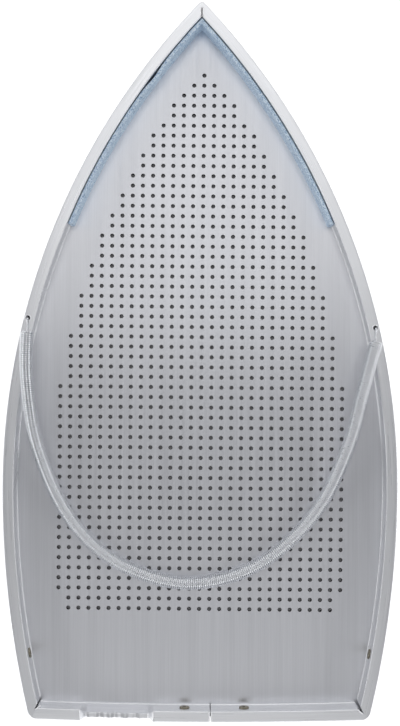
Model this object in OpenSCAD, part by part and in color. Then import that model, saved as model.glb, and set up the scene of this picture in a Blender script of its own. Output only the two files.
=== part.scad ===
// Shoe for a pressing iron: a shallow boat-shaped pan that clips under the iron's sole.
// A folded channel rim grips a perforated plate over a slippery perforated sole sheet, and a long
// coil spring hooked into the rim goes over the iron. The nose points to +Y, the sole faces -Z.

/* [Outline] */
// Length from the rounded nose to the middle of the heel
overall_length = 230.4; // [205:0.1:260]
// Width at the widest place
overall_width = 126.4; // [112:0.1:145]
// Distance from the nose's sharp point back to the widest place
nose_to_widest = 155.8; // [135:0.1:168]
// Width between the sides where they run into the heel
heel_width = 108.6; // [92:0.1:111]
// How far the heel bows out between its corners
heel_bow = 1; // [0.4:0.1:3]
// Outer radius of the two heel corners
heel_corner_r = 3.2; // [2.4:0.1:6]
// Outer radius of the nose
nose_r = 1; // [0.9:0.1:2]

/* [Frame] */
// Thickness of the folded rim's metal
rim_t = 0.8; // [0.5:0.05:0.85]
// Width of the rim, seen from above
rim_w = 3.6; // [3.4:0.1:5]
// Height of the rim above the plate
wall_height = 9.5; // [8:0.1:14]
// Radius of the rim's two upper edges
rim_edge_r = 0.3; // [0.2:0.05:0.75]
// Radius of the fold under the plate
fold_r = 0.7; // [0.2:0.05:1]
// How far the rim's foot stands into the pan
foot_out = 0.3; // [0.15:0.05:0.6]
// Height of the rim's foot
foot_h = 0.9; // [0.7:0.05:1.6]
// Width of the lip turned under the sole
lip_w = 3; // [2:0.1:4]
// Thickness of the lip
lip_t = 0.45; // [0.3:0.05:0.6]
// How far the lip stays above the sole's face
lip_recess = 0.15; // [0.05:0.05:0.3]
// Gap between the two ends of the rim at the heel
joint_gap = 0.3; // [0.15:0.05:0.6]
// Place of that joint, right of the middle
joint_x = 3.6; // [-2:0.1:6]

/* [Corner slits] */
// Width of the slit at the nose
nose_slit_w = 0.3; // [0.2:0.05:0.6]
// Metal left uncut in front of the nose slit
nose_slit_start = 2; // [1.5:0.1:3]
// Opening angle of the wedge cut at each heel corner
wedge_angle = 24; // [10:1:28]
// Direction of the wedge, away from the long axis
wedge_turn = 38; // [32:1:45]
// Distance of the wedge's point outside the corner's centre
wedge_point = 1.5; // [0.5:0.1:1.8]
// How much further forward the left wedge sits
wedge_left_forward = 1; // [0:0.1:1.2]

/* [Dent in the heel] */
// Middle of the pressed stretch, left of the joint
dent_middle = 30; // [24:0.1:34]
// Length of the pressed stretch
dent_length = 19.5; // [10:0.5:24]
// Length of the slope at each end of it
dent_ramp = 2.2; // [1:0.1:4]
// How far the rim's top is pressed down
dent_drop = 3.4; // [1:0.1:5]
// How far the outer wall leans in there
dent_lean = 0.3; // [0:0.05:0.5]

/* [Plate and sole] */
// Thickness of the metal plate
plate_t = 1; // [0.6:0.1:2]
// Thickness of the sole sheet
sole_t = 1.2; // [0.9:0.1:2.5]
// Running clearance of plate and sole in the rim
edge_gap = 0.15; // [0.1:0.05:0.4]
// Diameter of the steam holes
hole_d = 1.36; // [0.8:0.02:2]
// Spacing of the steam holes, both ways
hole_pitch = 3.281; // [2.6:0.001:5]
// Distance of the first hole behind the nose
first_hole = 21.8; // [16:0.1:40]
// How far the first hole sits right of the middle
hole_shift = 0.9; // [-2:0.1:2]
// Turn of the punched field against the long axis
hole_turn = 0.34; // [-1:0.01:1]
// Least plain stretch behind the holes
heel_margin = 34; // [12:0.5:60]
// Plain stretch beside the holes at the widest place, nose side
side_margin = 14.6; // [9:0.1:30]
// How much tighter the field's sides curve than the rim does, nose side
side_tighter = 4.6; // [0:0.1:20]
// Plain stretch beside the holes, heel side
rear_margin = 15.2; // [9:0.1:30]

/* [Nose strip] */
// Thickness of the blue strip
strip_t = 1.5; // [0.8:0.1:3]
// Height of the strip
strip_h = 9; // [4:0.1:9.3]
// Gap between the strip and the rim's foot
strip_gap = 0.05; // [0.05:0.05:0.6]
// How far the strip reaches back from the nose
strip_reach = 71; // [30:0.5:90]

/* [Rivets] */
// Diameter of the rivet heads
rivet_head_d = 3.2; // [2.6:0.1:3.6]
// Thickness of the rivet heads
rivet_head_t = 0.5; // [0.3:0.05:0.8]
// Diameter of the rivet shanks
rivet_d = 1.9; // [1.2:0.1:2.1]
// Hollow in each rivet head
rivet_hollow_d = 1; // [0.6:0.1:1.4]
// Height of the rivets above the plate
rivet_z = 5; // [3:0.1:6]
// Distance of the left heel rivet from the joint
rivet_left = 8.3; // [5:0.1:11]
// Distance of the right heel rivet from the joint
rivet_right = 10.9; // [5:0.1:14]
// Distance of the side rivets in front of the heel
side_rivet = 21.2; // [14:0.1:40]
// Thickness of the strip that bridges the joint
bridge_t = 1; // [0.5:0.05:1.1]
// How far that strip reaches past its rivets
bridge_end = 3.5; // [2.5:0.1:4]

/* [Spring] */
// Outer diameter of the coil
coil_d = 4.5; // [3.5:0.1:6]
// Thickness of the spring's wire
wire_d = 0.65; // [0.4:0.05:0.8]
// Spacing of the ridges that stand for the turns
ridge_pitch = 1.3; // [1:0.05:3]
// Depth of those ridges
ridge_depth = 0.3; // [0.1:0.05:0.4]
// Clearance under the coil on the rim and on the plate
coil_gap = 0.15; // [0.1:0.05:0.5]
// Distance of the left hook hole behind the nose
left_hook = 101.3; // [85:0.1:120]
// Distance of the right hook hole behind the nose
right_hook = 104.1; // [85:0.1:120]
// Radius of the hooks
hook_r = 2; // [1.6:0.1:2.4]
// Straight wire between a hook and the coil
hook_straight = 2.3; // [1.8:0.1:4]
// Diameter of the hook holes in the rim
hook_hole_d = 1.8; // [1.4:0.05:2]
// How far the spring's bow reaches behind its hooks
spring_sag = 85.5; // [60:0.5:95]
// Length at each end over which the coil stays at the rim's height
spring_level = 17; // [14:0.5:24]
// Length over which the coil then comes down to the plate
spring_fall = 52; // [36:1:70]

/* [Hidden] */

// Facets of round holes, of rivets and of the steam holes
ROUND = 48;
SMALL = 24;
// Steps along the nose, the two side arcs, a heel corner and half the heel
NOSE_STEPS = 3;
FRONT_STEPS = 32;
REAR_STEPS = 12;
CORNER_STEPS = 6;
HEEL_STEPS = 5;
// Steps round an edge of the rim, its fold and its foot
EDGE_STEPS = 4;
FOLD_STEPS = 3;
FOOT_STEPS = 2;
// Radius that a corner keeps on the faces inside it
INNER_R = 0.3;
// More than any height or width of the part, for cutters
FAR = 400;
// Overlap of a cutter past the face that it opens
OVER = 1;
// Clearance of a rivet's shank in its hole, and of what seats on a face that curves away under it
RIVET_GAP = 0.05;
SEAT_GAP = 0.04;
// Hollow left between the two legs where they are pinched
PINCH_GAP = 0.1;
// Thickness of a rivet's set tail, and depth of the hollow in its head
TAIL_T = 0.35;
HOLLOW_DEPTH = 0.35;

// Heights, from the sole's face up
lip_top = lip_recess + lip_t;
plate_z = sole_t;
plate_top = plate_z + plate_t;
rim_top = plate_top + wall_height;
web_under = rim_top - rim_t;

// Side arcs: one circle from the nose to the widest place and a larger one from there to the heel
half_w = overall_width / 2;
half_heel = heel_width / 2;
front_r = (half_w * half_w + nose_to_widest * nose_to_widest) / (2 * half_w);
front_x = front_r - half_w;
tip_y = overall_length / 2;
heel_y = -overall_length / 2;
widest_y = tip_y - nose_r - sqrt(pow(front_r - nose_r, 2) - pow(front_x, 2));
rear_run = widest_y - heel_y - heel_bow;
rear_dx = half_w - half_heel;
rear_r = (rear_dx * rear_dx + rear_run * rear_run) / (2 * rear_dx);
rear_x = rear_r - half_w;

// Heel arc, and the centre of the outer corner circle that touches both it and the right side
heel_r = (half_heel * half_heel + heel_bow * heel_bow) / (2 * heel_bow);
heel_cy = heel_y + heel_r;
corner = corner_centre(0);

// Places across the heel where the rim's section is set, from right to left
heel_end = corner.x - heel_corner_r;
dent_x = joint_x - dent_middle;
dent_edge = dent_length / 2;
heel_xs = concat(
    [for (k = [0:HEEL_STEPS]) heel_end * (1 - k / HEEL_STEPS)],
    [dent_x + dent_edge + dent_ramp, dent_x + dent_edge, dent_x - dent_edge, dent_x - dent_edge - dent_ramp],
    [-heel_end]
);
dent_pinch = rim_w - 2 * rim_t - PINCH_GAP;

// Plan insets of what lies inside the rim
tray_inset = rim_t + edge_gap;
body_inset = lip_w + edge_gap;
strip_inset = rim_w + foot_out + strip_gap;
channel_mid = rim_w / 2;
channel_mid_z = plate_top + wall_height / 2;
nose_half_angle = atan2(nose_to_widest, front_x);

hole_rows = floor((overall_length - first_hole - heel_margin) / hole_pitch) + 1;

// Heel rivets by their places along the heel, side rivets by their distance from it
heel_rivets = [joint_x - rivet_left, joint_x + rivet_right];
side_rivet_y = heel_y + side_rivet;
leg_back = rim_w - rim_t;

// Spring: the hooks turn about an axis through the middle of the web, behind their holes
coil_r = coil_d / 2;
wire_r = wire_d / 2;
axis_z = rim_top - rim_t / 2;
coil_high = rim_top + coil_gap + coil_r;
coil_low = plate_top + coil_gap + coil_r;
left_pivot = pivot_at(-1, tip_y - left_hook - hook_r);
right_pivot = pivot_at(1, tip_y - right_hook - hook_r);
left_start = [left_pivot.x, left_pivot.y - hook_straight];
right_start = [right_pivot.x, right_pivot.y - hook_straight];
bow_y = tip_y - left_hook - spring_sag;
// The bow of the spring, as shares of the way across between the hooks and of the way down to the bow
BOW = [
    [0, 0], [0, 0.19], [0.03, 0.46], [0.112, 0.73], [0.242, 0.908], [0.42, 0.997],
    [0.577, 0.978], [0.72, 0.876], [0.845, 0.685], [0.922, 0.435], [0.96, 0.218], [1, 0]
];
BOW_STEPS = 24;
TUBE_SIDES = 10;
HOOK_START = -45;
HOOK_STEPS = 9;
LEFT = [-1, 0, 0];
UP = [0, 0, 1];

// The bow in plan, then with its height
bow_points = [for (b = BOW) let (
    y0 = mix(left_start.y, right_start.y, b[0])
) [mix(left_start.x, right_start.x, b[0]), mix(y0, bow_y, b[1])]];
bow_plan = [for (i = [0:len(BOW) - 2], k = [0:BOW_STEPS - 1]) through(bow_points, i, k / BOW_STEPS)];
bow_full = concat(bow_plan, [right_start]);
bow_len = lengths(bow_full);
bow_whole = bow_len[len(bow_len) - 1];
bow_path = [for (i = [0:len(bow_full) - 1])
    [bow_full[i].x, bow_full[i].y, coil_z(bow_len[i], bow_whole)]];
path_len = lengths(bow_path);
path_whole = path_len[len(path_len) - 1];
ridge_count = floor(path_whole / ridge_pitch);
ring_step = path_whole / (2 * ridge_count);

// Section of the rim as one loop: x runs inwards from the outer face, y is the height
rim_section = concat(
    arc([fold_r, lip_recess + fold_r], fold_r, 270, 180, FOLD_STEPS),
    [[0, rim_top - rim_edge_r]],
    arc([rim_edge_r, rim_top - rim_edge_r], rim_edge_r, 180, 90, EDGE_STEPS),
    [[rim_w - rim_edge_r, rim_top]],
    arc([rim_w - rim_edge_r, rim_top - rim_edge_r], rim_edge_r, 90, 0, EDGE_STEPS),
    [[rim_w, plate_top + foot_h]],
    arc([rim_w, plate_top + foot_h - foot_out], foot_out, 90, 0, FOOT_STEPS),
    [
        [rim_w + foot_out, plate_top], [leg_back, plate_top], [leg_back, web_under], [rim_t, web_under],
        [rim_t, lip_top], [lip_w, lip_top], [lip_w, lip_recess], [fold_r, lip_recess]
    ]
);

// Lower crossing of two circles, on the side of greater x
function circles_meet(p, rp, q, rq) =
    let (
        d = norm(q - p),
        a = (d * d + rp * rp - rq * rq) / (2 * d),
        h = sqrt(rp * rp - a * a),
        u = (q - p) / d,
        m = p + a * u,
        s = [m + h * [u.y, -u.x], m - h * [u.y, -u.x]]
    ) s[0].x > s[1].x ? s[0] : s[1];

// Point of a side at height y, at an inset from the outer face
function side_x(y, inset) =
    y > widest_y
        ? sqrt(pow(front_r - inset, 2) - pow(y - widest_y, 2)) - front_x
        : sqrt(pow(rear_r - inset, 2) - pow(y - widest_y, 2)) - rear_x;

// Radius of a corner, at an inset, whose outer radius is r
function radius_at(r, inset) = max(r - inset, INNER_R);

// Middle of the nose's circle and of the right heel corner's circle, at an inset
function nose_centre(inset) =
    [0, widest_y + sqrt(pow(front_r - inset - radius_at(nose_r, inset), 2) - pow(front_x, 2))];

function corner_centre(inset) =
    let (back = inset + radius_at(heel_corner_r, inset))
    circles_meet([-rear_x, widest_y], rear_r - back, [0, heel_cy], heel_r - back);

// Points of an arc, leaving its first one out
function arc(centre, r, from, to, steps) =
    [for (k = [1:steps]) let (a = mix(from, to, k / steps)) centre + r * [cos(a), sin(a)]];

// Right side of the outline at an inset, from the nose's tip to the heel
function right_side(inset) =
    let (
        nose = nose_centre(inset),
        nose_in = radius_at(nose_r, inset),
        nose_turn = atan2(nose.y - widest_y, front_x),
        heel = corner_centre(inset),
        heel_in = radius_at(heel_corner_r, inset),
        side_turn = atan2(heel.y - widest_y, heel.x + rear_x),
        heel_turn = atan2(heel.y - heel_cy, heel.x)
    ) concat(
        [nose + [0, nose_in]],
        arc(nose, nose_in, 90, nose_turn, NOSE_STEPS),
        arc([-front_x, widest_y], front_r - inset, nose_turn, 0, FRONT_STEPS),
        arc([-rear_x, widest_y], rear_r - inset, 0, side_turn, REAR_STEPS),
        arc(heel, heel_in, side_turn, heel_turn, CORNER_STEPS)
    );

// Left side, from the heel back up to the nose and without the tip
function left_side(inset) =
    let (p = right_side(inset)) [for (i = [len(p) - 1:-1:1]) [-p[i].x, p[i].y]];

function heel_point(x, inset) = [x, heel_cy - sqrt(pow(heel_r - inset, 2) - x * x)];

function outline(inset) =
    concat(right_side(inset), [for (x = heel_xs) heel_point(x, inset)], left_side(inset));

// How far the dent is pressed in, from 0 to 1, at a place across the heel
function dent_share(x) = max(0, min(1, (dent_edge + dent_ramp - abs(x - dent_x)) / dent_ramp));

// Where the dent takes a point of the section: the top comes down, the outer leg leans in and the
// inner one leans out to it
function pressed(p, share) =
    let (sideways = p.x > channel_mid ? dent_lean - dent_pinch : dent_lean)
    p.y < channel_mid_z ? p : p + share * [sideways, -dent_drop];

function pivot_at(side, y) = [side * side_x(y, channel_mid), y];

// Half count of the holes in a row, all inside the field's curved sides
function row_half(i) =
    let (
        y = tip_y - first_hole - i * hole_pitch,
        dy = y - widest_y,
        r = front_r - side_tighter,
        reach = dy > 0 ? sqrt(r * r - dy * dy) - r + half_w - side_margin : side_x(y, 0) - rear_margin
    ) max(0, floor(reach / hole_pitch));

// Point of the Catmull-Rom curve through p, at span i and share t
function through(p, i, t) =
    let (
        n = len(p) - 1,
        a = p[max(i - 1, 0)],
        b = p[i],
        c = p[min(i + 1, n)],
        d = p[min(i + 2, n)]
    ) 0.5 * (
        2 * b + t * (c - a) + pow(t, 2) * (2 * a - 5 * b + 4 * c - d) + pow(t, 3) * (3 * b - 3 * c + d - a)
    );

function mix(a, b, t) = a + (b - a) * t;

// Running length along a list of points
function lengths(p, i = 0, sum = 0) =
    i == len(p) ? [] : concat([sum + (i ? norm(p[i] - p[i - 1]) : 0)],
        lengths(p, i + 1, sum + (i ? norm(p[i] - p[i - 1]) : 0)));

// Height of the coil's middle at length s of a spring of the given length
function coil_z(s, whole) =
    let (
        e = min(s, whole - s),
        t = min(max((e - spring_level) / spring_fall, 0), 1)
    ) mix(coil_high, coil_low, (1 - cos(180 * t)) / 2);

// Point of a polyline at length s
function along(p, l, s, i = 0) =
    i >= len(p) - 2 || s <= l[i + 1]
        ? mix(p[i], p[i + 1], (s - l[i]) / (l[i + 1] - l[i]))
        : along(p, l, s, i + 1);

// The outline that one point of the section runs along
function rim_ring(p) = concat(
    [for (q = right_side(p.x)) [q.x, q.y, p.y]],
    [for (x = heel_xs) let (d = pressed(p, dent_share(x)), q = heel_point(x, d.x)) [x, q.y, d.y]],
    [for (q = left_side(p.x)) [q.x, q.y, p.y]]
);

module frame() {
    color("gainsboro") difference() {
        rim();
        nose_slit();
        heel_wedge(0);
        mirror([1, 0, 0]) heel_wedge(wedge_left_forward);
        joint_cut();
        for (p = [left_pivot, right_pivot]) hook_hole(p);
        at_heel_rivets() rivet_hole();
        at_side_rivets() rivet_hole();
    }
}

// The folded strip, as its section carried once round the outline
module rim() {
    rings = [for (p = rim_section) rim_ring(p)];
    m = len(rings);
    n = len(rings[0]);
    polyhedron(
        points = [for (r = rings) each r],
        faces = [for (j = [0:m - 1], i = [0:n - 1]) let (
            a = j * n + i,
            b = j * n + (i + 1) % n,
            c = ((j + 1) % m) * n + (i + 1) % n,
            d = ((j + 1) % m) * n + i
        ) each [[a, b, c], [a, c, d]]],
        convexity = 10
    );
}

module nose_slit() {
    reach = rim_w / sin(nose_half_angle) + lip_w;
    translate([-nose_slit_w / 2, tip_y - nose_slit_start - reach, -OVER])
        cube([nose_slit_w, reach, FAR]);
}

// Wedge through web, inner leg and lip, which lets the rim fold round a heel corner
module heel_wedge(forward) {
    reach = heel_corner_r + rim_w + lip_w;
    half = reach * tan(wedge_angle / 2);
    translate([corner.x, corner.y + forward, -OVER]) rotate([0, 0, wedge_turn])
        translate([0, -wedge_point, 0]) linear_extrude(FAR) polygon([[0, 0], [half, reach], [-half, reach]]);
}

module joint_cut() {
    translate([joint_x - joint_gap / 2, heel_y - OVER, -OVER])
        cube([joint_gap, rim_w + foot_out + lip_w + 2 * OVER, FAR]);
}

module hook_hole(p) {
    translate([p.x, p.y + hook_r, web_under - OVER])
        cylinder(h = rim_t + 2 * OVER, d = hook_hole_d, $fn = ROUND);
}

// Stands its children on the pan side of the inner leg, with +Z pointing into the pan
module at_heel_rivets() {
    for (x = heel_rivets) {
        seat = heel_point(x, rim_w);
        translate([x, seat.y, plate_top + rivet_z]) rotate([-90, 0, -asin(x / heel_r)]) children();
    }
}

module at_side_rivets() {
    seat = [side_x(side_rivet_y, rim_w), side_rivet_y, plate_top + rivet_z];
    turn = asin((side_rivet_y - widest_y) / (rear_r - rim_w));
    on_both_sides() translate(seat) rotate([0, 0, turn]) rotate([0, -90, 0]) children();
}

module on_both_sides() {
    children();
    mirror([1, 0, 0]) children();
}

module rivet_hole() {
    translate([0, 0, -rim_t - RIVET_GAP])
        cylinder(h = rim_t + OVER, d = rivet_d + 2 * RIVET_GAP, $fn = ROUND);
}

// The steam holes, the same through the plate and the sole
module steam_holes() {
    translate([hole_shift, tip_y - first_hole]) rotate([0, 0, -hole_turn])
        for (i = [0:hole_rows - 1], j = [-row_half(i):row_half(i)])
            translate([j * hole_pitch, -i * hole_pitch]) circle(d = hole_d, $fn = SMALL);
}

module base_plate() {
    color("silver") translate([0, 0, plate_z]) linear_extrude(plate_t) difference() {
        polygon(outline(tray_inset));
        steam_holes();
    }
}

module sole_sheet() {
    color("dimgray") difference() {
        union() {
            linear_extrude(sole_t) polygon(outline(body_inset));
            translate([0, 0, lip_top]) linear_extrude(sole_t - lip_top) polygon(outline(tray_inset));
        }
        translate([0, 0, -OVER]) linear_extrude(sole_t + 2 * OVER) steam_holes();
    }
}

module nose_strip() {
    color("lightsteelblue") translate([0, 0, plate_top]) linear_extrude(strip_h) intersection() {
        difference() {
            polygon(outline(strip_inset));
            polygon(outline(strip_inset + strip_t));
        }
        translate([-FAR, tip_y - strip_reach]) square([2 * FAR, FAR]);
    }
}

// Strip inside the channel that bridges the joint at the heel
module joint_bridge() {
    low = plate_top + foot_h;
    left = heel_rivets[0] - bridge_end;
    right = heel_rivets[1] + bridge_end;
    xs = concat([right], [for (x = heel_xs) if (x > left && x < right) x], [left]);
    front = leg_back - SEAT_GAP;
    color("darkgray") difference() {
        translate([0, 0, low]) linear_extrude(web_under - edge_gap - low) polygon(concat(
            [for (x = xs) heel_point(x, front)],
            [for (i = [len(xs) - 1:-1:0]) heel_point(xs[i], front - bridge_t)]
        ));
        at_heel_rivets() translate([0, 0, -rim_w])
            cylinder(h = rim_w + OVER, d = rivet_d + 2 * RIVET_GAP, $fn = ROUND);
    }
}

// One rivet, set through a stack of the given thickness under its head
module rivet(stack) {
    rotate_extrude($fn = ROUND) difference() {
        union() {
            translate([0, -stack - TAIL_T]) square([rivet_d / 2, stack + TAIL_T + rivet_head_t]);
            translate([0, -stack - TAIL_T]) square([rivet_d / 2 + 2 * RIVET_GAP + TAIL_T, TAIL_T]);
            rivet_head();
        }
        translate([0, rivet_head_t - HOLLOW_DEPTH]) square([rivet_hollow_d / 2, OVER]);
    }
}

module rivet_head() {
    edge = rivet_head_t / 2;
    translate([0, SEAT_GAP]) square([rivet_head_d / 2 - edge, rivet_head_t - SEAT_GAP]);
    translate([0, SEAT_GAP]) square([rivet_head_d / 2, edge]);
    translate([rivet_head_d / 2 - edge, edge]) intersection() {
        circle(r = edge, $fn = ROUND);
        square(edge);
    }
}

module rivets() {
    color("rosybrown") {
        at_heel_rivets() rivet(rim_t + 2 * SEAT_GAP + bridge_t);
        at_side_rivets() rivet(rim_t + SEAT_GAP);
    }
}

// Rings of the swept spring: middle, direction, sideways direction and radius. The sideways one is
// level all the way, so that the rings line up.
function hook_ring(pivot, a, forth) =
    [[pivot.x, pivot.y + hook_r * cos(a), axis_z + hook_r * sin(a)],
        forth * [0, sin(a), -cos(a)], -forth * LEFT, wire_r];

// From the tip to the coil, or back where forth is 1
function hook_rings(pivot, forth) =
    let (start = forth > 0 ? 90 : HOOK_START, stop = forth > 0 ? HOOK_START : 90)
    [for (k = [0:HOOK_STEPS]) hook_ring(pivot, mix(start, stop, k / HOOK_STEPS), forth)];

function wire_end(p, forth) = [[p.x, p.y, axis_z + hook_r], [0, forth, 0], -forth * LEFT, wire_r];

coil_rings = [for (i = [0:2 * ridge_count]) let (
    s = i * ring_step,
    a = along(bow_path, path_len, max(s - ring_step, 0)),
    b = along(bow_path, path_len, min(s + ring_step, path_whole)),
    way = (b - a) / norm(b - a),
    sideways = cross(way, UP)
) [along(bow_path, path_len, s), way, sideways / norm(sideways), coil_r - (i % 2 == 0 ? ridge_depth : 0)]];

function ring_points(r) =
    [for (k = [0:TUBE_SIDES - 1]) let (a = 360 * k / TUBE_SIDES)
        r[0] + r[3] * (cos(a) * r[2] + sin(a) * cross(r[2], r[1]))];

module spring() {
    rings = concat(
        hook_rings(left_pivot, -1), [wire_end(left_start, -1)], coil_rings,
        [wire_end(right_start, 1)], hook_rings(right_pivot, 1)
    );
    n = TUBE_SIDES;
    last = len(rings) - 1;
    color("gray") polyhedron(
        points = [for (r = rings) each ring_points(r)],
        faces = concat(
            [[for (k = [n - 1:-1:0]) k]],
            [[for (k = [0:n - 1]) last * n + k]],
            [for (i = [0:last - 1], k = [0:n - 1]) let (m = (k + 1) % n)
                [i * n + k, i * n + m, (i + 1) * n + m, (i + 1) * n + k]]
        ),
        convexity = 10
    );
}

frame();
base_plate();
sole_sheet();
nose_strip();
joint_bridge();
rivets();
spring();
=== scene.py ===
"""Looks of an iron shoe cover: a shallow pointed pan of folded aluminium strip round a perforated
plate, with a blue foam strip inside its nose and a long coil spring hooked into its rim.

Lengths in this file are millimetres unless a name says otherwise, and become metres when a mesh is
made. The nose points to +Y, the sole lies on the floor at Z = 0.
"""

import logging
import math
from dataclasses import dataclass
from enum import Enum

import bmesh
import bpy
import numpy as np
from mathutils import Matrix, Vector


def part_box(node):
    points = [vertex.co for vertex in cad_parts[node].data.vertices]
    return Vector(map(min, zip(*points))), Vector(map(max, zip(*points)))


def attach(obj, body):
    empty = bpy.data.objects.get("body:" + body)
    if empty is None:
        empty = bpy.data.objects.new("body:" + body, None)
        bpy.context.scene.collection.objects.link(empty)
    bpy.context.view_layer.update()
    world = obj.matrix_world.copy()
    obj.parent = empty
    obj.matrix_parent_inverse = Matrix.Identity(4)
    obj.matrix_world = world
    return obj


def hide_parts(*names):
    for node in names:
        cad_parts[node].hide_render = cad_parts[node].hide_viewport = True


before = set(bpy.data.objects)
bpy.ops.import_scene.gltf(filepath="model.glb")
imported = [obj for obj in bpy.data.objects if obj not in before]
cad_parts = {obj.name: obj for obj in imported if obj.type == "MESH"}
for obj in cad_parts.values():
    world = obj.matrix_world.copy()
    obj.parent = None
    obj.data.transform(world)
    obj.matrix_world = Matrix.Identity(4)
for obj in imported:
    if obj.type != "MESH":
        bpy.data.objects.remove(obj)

LOG = logging.getLogger("iron_shoe_cover")
MM = 0.001
SHOE_BODY = "shoe"
SPRING_BODY = "spring_loop"


def linear(hex_colour: str) -> tuple[float, float, float, float]:
    """Turns an sRGB hex colour into the linear colour that a shader works in.

    Args:
        hex_colour: Six hex digits after a hash sign.

    Returns:
        Red, green, blue and an alpha of 1.
    """
    srgb = np.array([int(hex_colour[i : i + 2], 16) for i in (1, 3, 5)]) / 255
    value = np.where(srgb <= 0.04045, srgb / 12.92, ((srgb + 0.055) / 1.055) ** 2.4)
    return (*value.tolist(), 1.0)


def add_node(tree: bpy.types.NodeTree, kind: str, inputs: dict | None = None, **settings) -> bpy.types.Node:
    """Adds a shader node, sets it and links it.

    Args:
        tree: The node tree that gets the node.
        kind: The node's type name, such as ShaderNodeTexNoise.
        inputs: Socket name or number to a value, or to a (node, output name) pair that feeds it.
        **settings: Properties of the node itself.

    Returns:
        The new node.
    """
    node = tree.nodes.new(kind)
    for name, value in settings.items():
        setattr(node, name, value)
    for socket, value in (inputs or {}).items():
        if isinstance(value, tuple) and isinstance(value[0], bpy.types.Node):
            tree.links.new(value[0].outputs[value[1]], node.inputs[socket])
        else:
            node.inputs[socket].default_value = value
    return node


def new_material(name: str) -> tuple[bpy.types.Material, bpy.types.NodeTree]:
    """Makes an empty node material.

    Args:
        name: The material's name.

    Returns:
        The material and its cleared node tree.
    """
    material = bpy.data.materials.new(name)
    material.use_nodes = True
    material.node_tree.nodes.clear()
    return material, material.node_tree


def set_stops(ramp: bpy.types.ColorRamp, *stops: tuple[float, str]) -> None:
    """Sets the colours along a ramp.

    Args:
        ramp: The ramp, which comes with two stops.
        *stops: Place and sRGB hex colour of each stop, the lowest first.
    """
    for element, (place, colour) in zip(ramp.elements, (stops[0], stops[-1])):
        element.position, element.color = place, linear(colour)
    for place, colour in stops[1:-1]:
        ramp.elements.new(place).color = linear(colour)


class Grain(Enum):
    """Which coordinates a brushed grain runs along."""

    ALONG_SHOE = "the sheet was brushed from heel to nose"
    ALONG_STRIP = "the strip was brushed along its own length"


@dataclass(frozen=True)
class BrushedAluminium:
    """Aluminium sheet, brushed on a belt, so that fine parallel scratches stretch its highlights."""

    name: str
    light: str
    dark: str
    grain: Grain
    # Colour of upright faces: painted shade for the dark walls of the punched holes; empty for none.
    wall_shade: str = ""
    scratch_width: float = 0.35
    scratch_length: float = 26.0
    smooth: float = 0.31
    rough: float = 0.39
    stretch: float = 0.8
    bump: float = 0.006
    depth: float = 4.0
    coarse_scale: float = 0.16
    coarse_share: float = 0.45

    def build(self) -> bpy.types.Material:
        """Makes the material: two scales of scratches drive its colour, roughness and bump.

        Returns:
            The finished material.
        """
        material, tree = new_material(self.name)
        if self.grain is Grain.ALONG_SHOE:
            place = add_node(tree, "ShaderNodeTexCoord")
            source = (place, "Object")
            scale = tuple(1 / (size * MM) for size in (self.scratch_width, self.scratch_length, self.depth))
            across = add_node(
                tree,
                "ShaderNodeVectorTransform",
                {"Vector": (1, 0, 0)},
                convert_from="OBJECT",
                convert_to="WORLD",
            )
            tangent, quarter = (across, "Vector"), 0.0
        else:
            place = add_node(tree, "ShaderNodeUVMap", uv_map="run")
            source = (place, "UV")
            scale = (1 / self.scratch_length, 1 / self.scratch_width, 1.0)
            run = add_node(tree, "ShaderNodeTangent", direction_type="UV_MAP", uv_map="run")
            tangent, quarter = (run, "Tangent"), 0.25
        stretched = add_node(tree, "ShaderNodeMapping", {"Vector": source, "Scale": scale})
        fine = add_node(
            tree, "ShaderNodeTexNoise", {"Vector": (stretched, "Vector"), "Scale": 1.0, "Detail": 3.0}
        )
        coarse = add_node(
            tree,
            "ShaderNodeTexNoise",
            {"Vector": (stretched, "Vector"), "Scale": self.coarse_scale, "Detail": 2.0},
        )
        both = add_node(
            tree,
            "ShaderNodeMix",
            {"Factor": self.coarse_share, 2: (fine, "Fac"), 3: (coarse, "Fac")},
            data_type="FLOAT",
        )
        tone = add_node(tree, "ShaderNodeValToRGB", {"Fac": (both, "Result")})
        set_stops(tone.color_ramp, (0.36, self.dark), (0.64, self.light))
        colour = (tone, "Color")
        # Painted shade: upright faces, such as the hole walls, take the darker colour.
        if self.wall_shade:
            colour = (self.paint_wall_shade(tree, tone), "Result")
        sheen = add_node(
            tree,
            "ShaderNodeMapRange",
            {
                "Value": (fine, "Fac"),
                "From Min": 0.3,
                "From Max": 0.7,
                "To Min": self.smooth,
                "To Max": self.rough,
            },
        )
        relief = add_node(
            tree, "ShaderNodeBump", {"Height": (fine, "Fac"), "Strength": 0.35, "Distance": self.bump * MM}
        )
        metal = add_node(
            tree,
            "ShaderNodeBsdfPrincipled",
            {
                "Base Color": colour,
                "Metallic": 1.0,
                "Roughness": (sheen, "Result"),
                "Anisotropic": self.stretch,
                "Anisotropic Rotation": quarter,
                "Tangent": tangent,
                "Normal": (relief, "Normal"),
            },
        )
        add_node(tree, "ShaderNodeOutputMaterial", {"Surface": (metal, "BSDF")})
        return material

    def paint_wall_shade(self, tree: bpy.types.NodeTree, tone: bpy.types.Node) -> bpy.types.Node:
        """Darkens upright faces with painted shade, for the walls of the punched holes that lie in shade.

        Args:
            tree: The material's node tree.
            tone: The node that colours the sheet's face.

        Returns:
            The node that gives the colour of face and walls.
        """
        # Painted shade: the more upright the face, the more it takes the shade colour; level faces keep the
        # sheet's colour.
        place = add_node(tree, "ShaderNodeTexCoord")
        way = add_node(tree, "ShaderNodeSeparateXYZ", {"Vector": (place, "Normal")})
        level = add_node(tree, "ShaderNodeMath", {0: (way, "Z")}, operation="ABSOLUTE")
        share = add_node(
            tree, "ShaderNodeMapRange", {"Value": (level, "Value"), "From Min": 0.3, "From Max": 0.7}
        )
        return add_node(
            tree,
            "ShaderNodeMix",
            {"Factor": (share, "Result"), 6: linear(self.wall_shade), 7: (tone, "Color")},
            data_type="RGBA",
        )


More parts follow.
